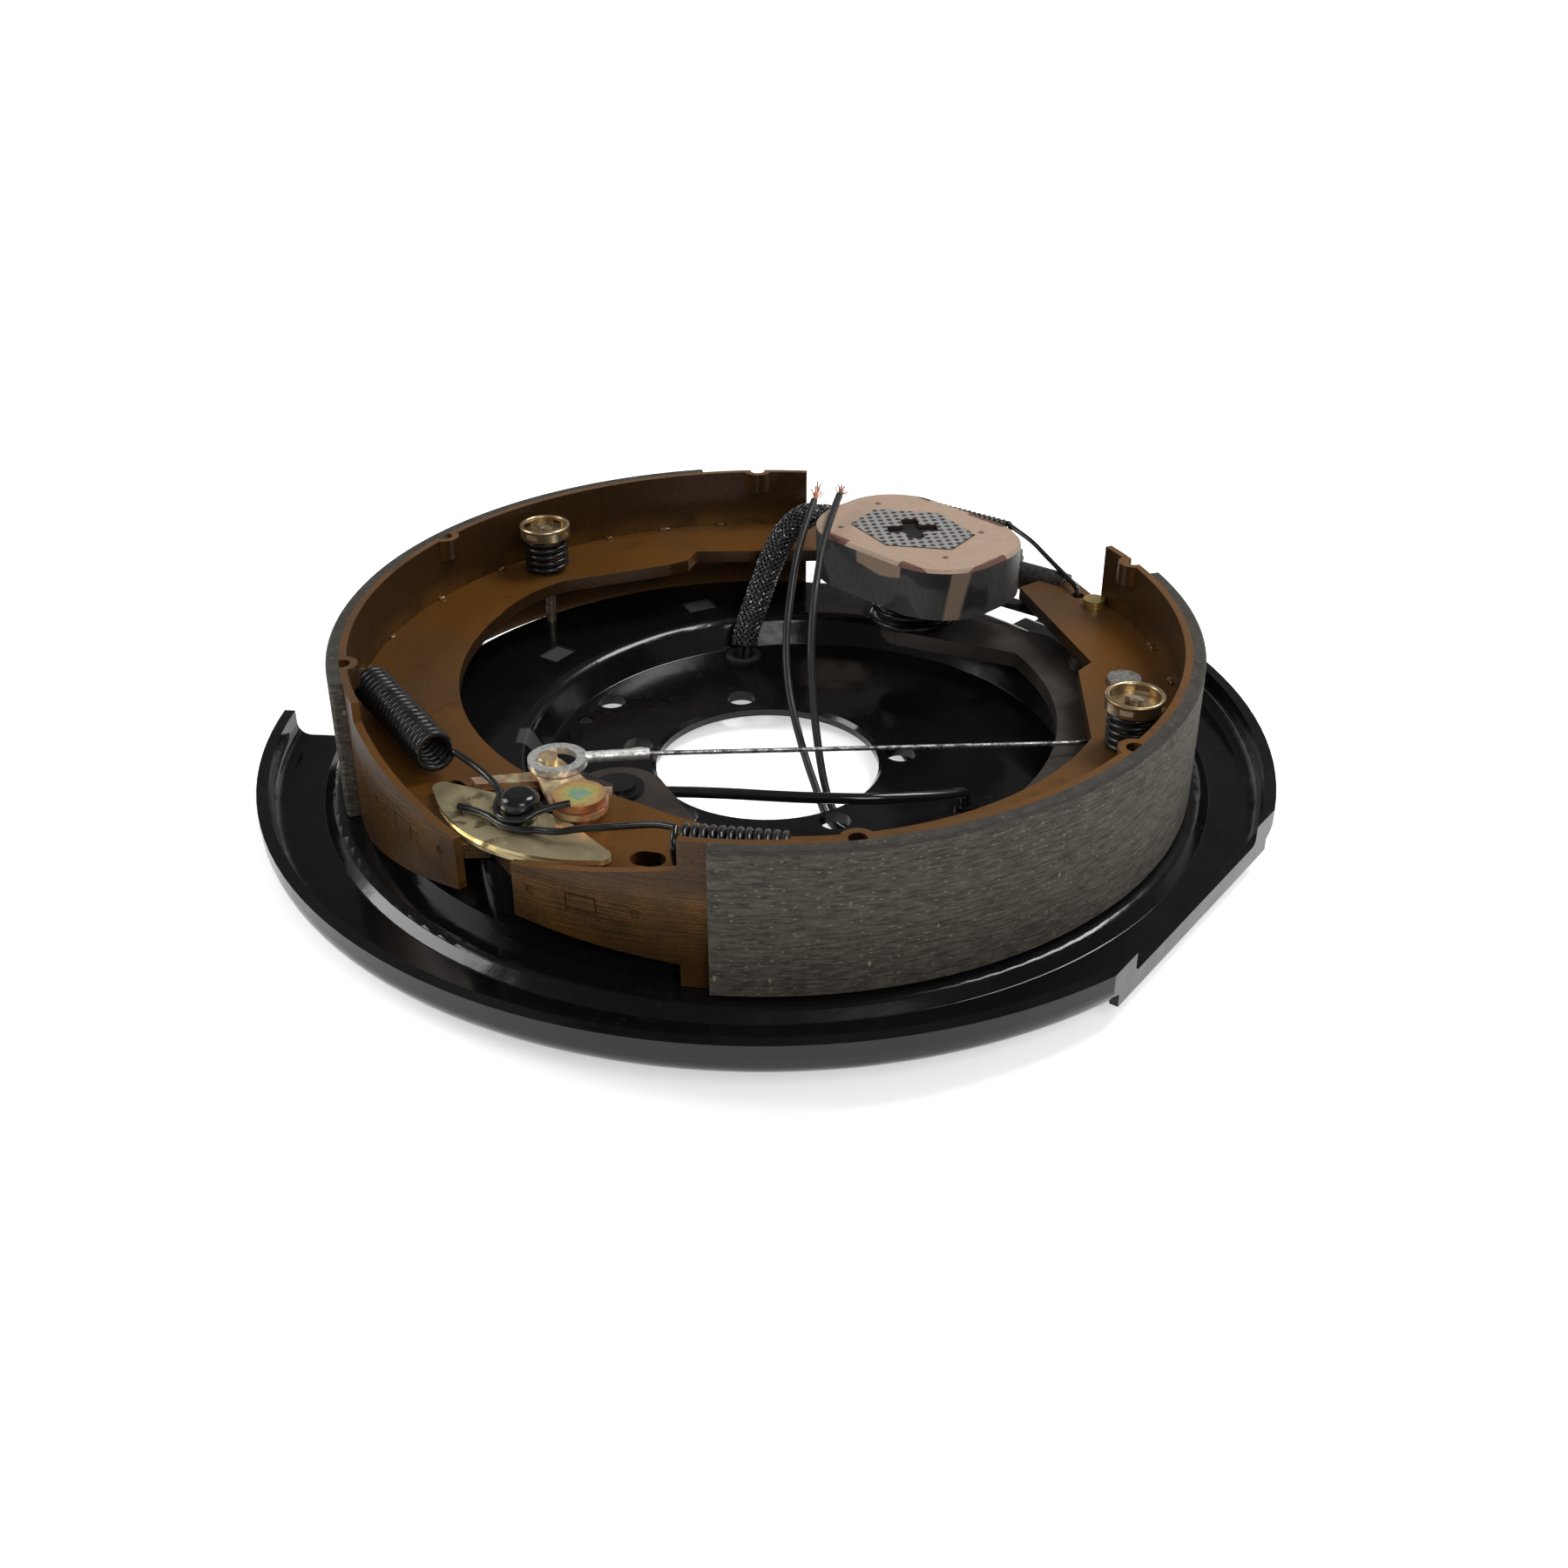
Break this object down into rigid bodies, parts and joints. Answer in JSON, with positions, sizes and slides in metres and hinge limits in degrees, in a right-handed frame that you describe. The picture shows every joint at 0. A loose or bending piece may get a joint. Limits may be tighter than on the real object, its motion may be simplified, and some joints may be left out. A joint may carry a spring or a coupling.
{
  "type": "electric trailer brake assembly",
  "caption": "Drum brake on a pressed backing plate with two lined shoes, a swinging arm that carries an oval electromagnet, a star wheel adjuster and coil springs",
  "frame": {"origin": "on the spindle bore's axis, in the plane of the backing plate's mounting face", "axes": "+Z along the hub axis towards the drum, +Y towards the anchor post, +X towards the primary shoe"},
  "size_m": [0.3249, 0.3592, 0.0763],
  "materials": {
    "plate_paint": "gloss black dip paint",
    "post_black": "satin black oxide",
    "guide_zinc": "yellow zinc plate, worn",
    "spring_black": "semi-gloss black spring steel",
    "arm_steel": "black coated steel",
    "magnet_resin": "sanded resin face with dark sides",
    "pole_steel": "bare perforated steel",
    "shoe_paint": "bronze brown paint, semi-gloss",
    "lining": "ground friction material with light flecks",
    "cup_zinc": "yellow zinc plate",
    "lever_zinc": "copper-toned zinc plate",
    "disc_zinc": "rainbow zinc plate",
    "rivet_steel": "plain steel",
    "rivet_gold": "yellow zinc plate",
    "cable_steel": "bright galvanised",
    "adjuster_steel": "black oxide",
    "rubber": "black rubber",
    "sleeve": "black braid with white flecks",
    "lead_black": "black insulation",
    "copper": "bare copper strand"
  },
  "bodies": {
    "plate": {"backing_plate": "plate_paint", "anchor_post": "post_black", "shoe_guide_plate": "guide_zinc", "arm_pivot_post": "post_black", "arm_return_spring": "spring_black", "primary_hold_down_pin": "guide_zinc", "secondary_hold_down_pin": "guide_zinc", "primary_hold_down_spring": "spring_black", "secondary_hold_down_spring": "spring_black", "primary_hold_down_cup": "cup_zinc", "secondary_hold_down_cup": "cup_zinc", "primary_return_spring": "spring_black", "secondary_return_spring": "spring_black", "adjuster_nut": "adjuster_steel", "adjuster_spring": "spring_black", "lead_grommet": "rubber", "adjuster_slot_plug": "rubber", "lead_sleeve": "sleeve", "first_lead": "lead_black", "second_lead": "lead_black", "first_lead_under_plate": "lead_black", "second_lead_under_plate": "lead_black", "first_lead_strands": "copper", "second_lead_strands": "copper"},
    "arm": {"actuating_arm": "arm_steel", "magnet_post": "arm_steel"},
    "magnet": {"magnet_case": "magnet_resin", "magnet_pole": "pole_steel", "magnet_spring": "spring_black"},
    "primary_shoe": {"primary_rim": "shoe_paint", "primary_web": "shoe_paint", "primary_lining": "lining", "parking_strut": "lever_zinc"},
    "socket": {"adjuster_socket": "adjuster_steel", "adjuster_washer": "adjuster_steel"},
    "star": {"star_wheel_screw": "adjuster_steel"},
    "secondary_shoe": {"secondary_rim": "shoe_paint", "secondary_web": "shoe_paint", "secondary_lining": "lining", "parking_lever_pin": "disc_zinc", "cable_guide": "adjuster_steel", "cable_guide_rivet": "rivet_steel", "adjuster_lever_rivet": "rivet_gold", "cable_eye": "cable_steel", "adjuster_cable": "cable_steel"},
    "lever": {"parking_lever": "lever_zinc"},
    "pawl": {"adjuster_lever": "adjuster_steel"}
  },
  "joints": [
    {"name": "arm_swing", "type": "hinge", "parent": "plate", "child": "arm", "pos_m": [0.004, 0.077, 0.023], "axis": [0, 0, 1], "range_deg": [-3.5, 0], "stiffness_Nm_per_rad": 20, "deforming": ["arm_return_spring"]},
    {"name": "magnet_float", "type": "slide", "parent": "arm", "child": "magnet", "axis": [0, 0, 1], "range_m": [-0.004, 0], "stiffness_N_per_m": 1500, "springref_m": 0.008, "deforming": ["magnet_spring"]},
    {"name": "primary_spread", "type": "hinge", "parent": "plate", "child": "primary_shoe", "pos_m": [0.04, -0.137, 0.0354], "axis": [0, 0, 1], "range_deg": [-0.35, 0], "stiffness_Nm_per_rad": 60, "deforming": ["primary_return_spring"]},
    {"name": "socket_feed", "type": "slide", "parent": "plate", "child": "socket", "axis": [-1, 0, 0], "range_m": [0, 0.003]},
    {"name": "star_turn", "type": "hinge", "parent": "socket", "child": "star", "pos_m": [-0.0175, -0.137, 0.0354], "axis": [1, 0, 0], "range_deg": [0, 720]},
    {"name": "secondary_adjust", "type": "hinge", "parent": "plate", "child": "secondary_shoe", "pos_m": [0, 0.126, 0.0354], "axis": [0, 0, 1], "range_deg": [-0.65, 0], "deforming": ["secondary_return_spring", "adjuster_spring"]},
    {"name": "cable_lever_swing", "type": "hinge", "parent": "secondary_shoe", "child": "lever", "pos_m": [-0.0105, 0.1105, 0.0422], "axis": [0, 0, 1], "range_deg": [-3, 0]},
    {"name": "pawl_click", "type": "hinge", "parent": "secondary_shoe", "child": "pawl", "pos_m": [-0.0653, -0.1238, 0.0294], "axis": [0, 0, 1], "range_deg": [0, 3], "stiffness_Nm_per_rad": 0.3}
  ],
  "couplings": [
    {"joint": "primary_spread", "follows": "arm_swing", "ratio": 0.1},
    {"joint": "socket_feed", "follows": "secondary_adjust", "m_per_rad": -0.263},
    {"joint": "star_turn", "follows": "secondary_adjust", "ratio": -1101.7}
  ]
}
